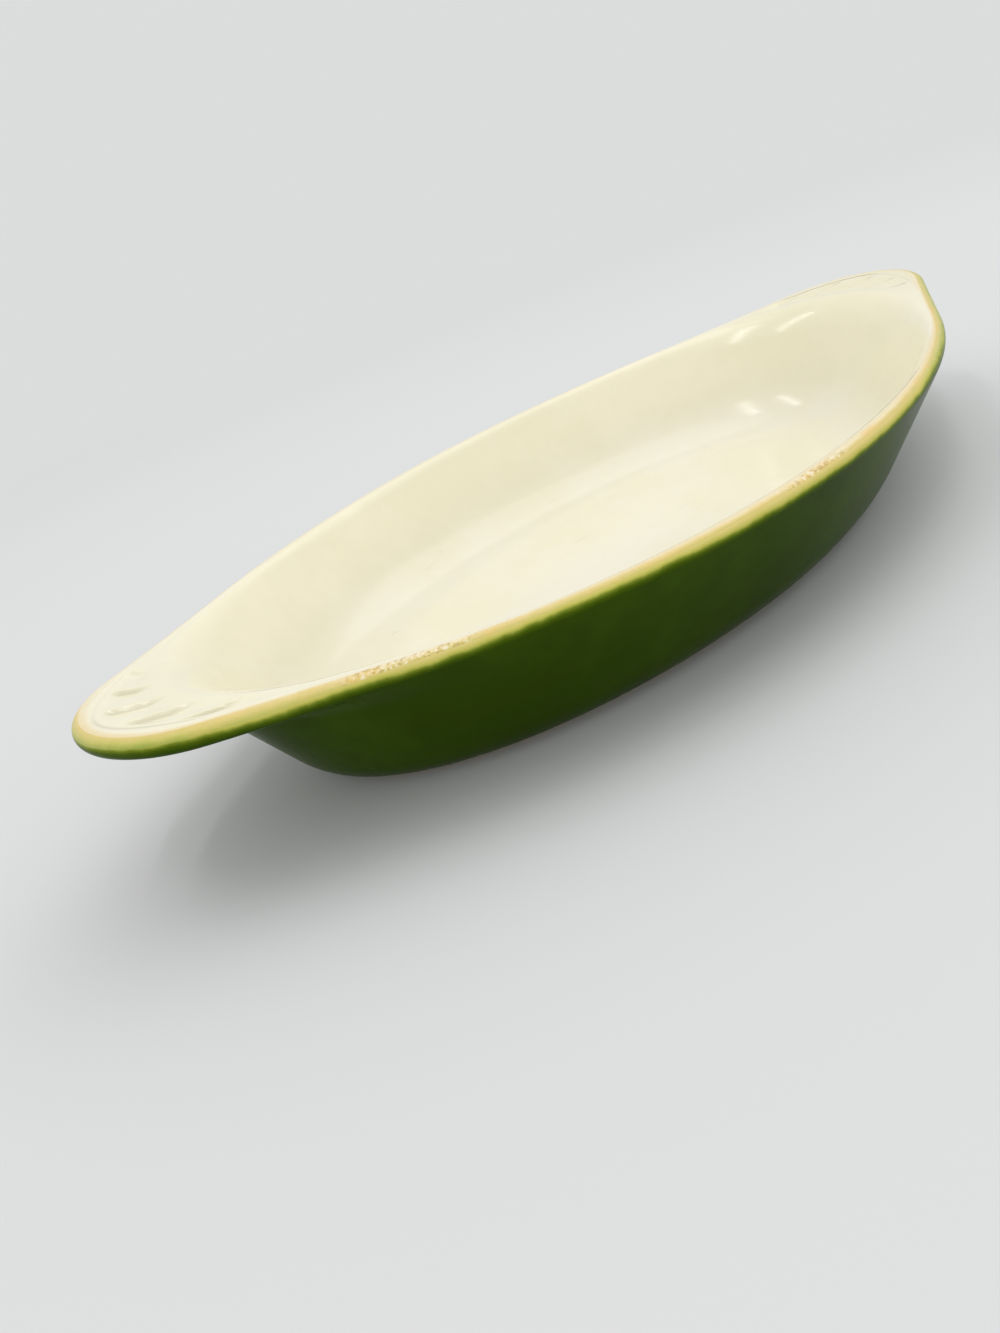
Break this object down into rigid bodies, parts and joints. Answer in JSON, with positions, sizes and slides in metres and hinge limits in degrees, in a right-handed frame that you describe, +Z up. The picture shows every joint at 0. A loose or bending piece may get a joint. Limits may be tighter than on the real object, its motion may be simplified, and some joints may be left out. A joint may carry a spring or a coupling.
{
  "type": "au gratin dish",
  "caption": "Shallow oval baking dish of glazed stoneware with pointed grip lugs, cream inside and dark green outside, for baking and serving.",
  "frame": {"origin": "middle of the face of the foot ring that the dish stands on", "axes": "+X along the length over both lugs, +Y across the width, +Z up"},
  "size_m": [0.23, 0.12, 0.0324],
  "materials": {
    "stoneware": "satin",
    "cream_glaze": "gloss",
    "green_glaze": "gloss",
    "base_green": "gloss"
  },
  "bodies": {
    "root": {"stoneware_body": "stoneware", "inner_glaze": "cream_glaze", "outer_glaze": "green_glaze", "base_glaze": "base_green"}
  },
  "joints": []
}
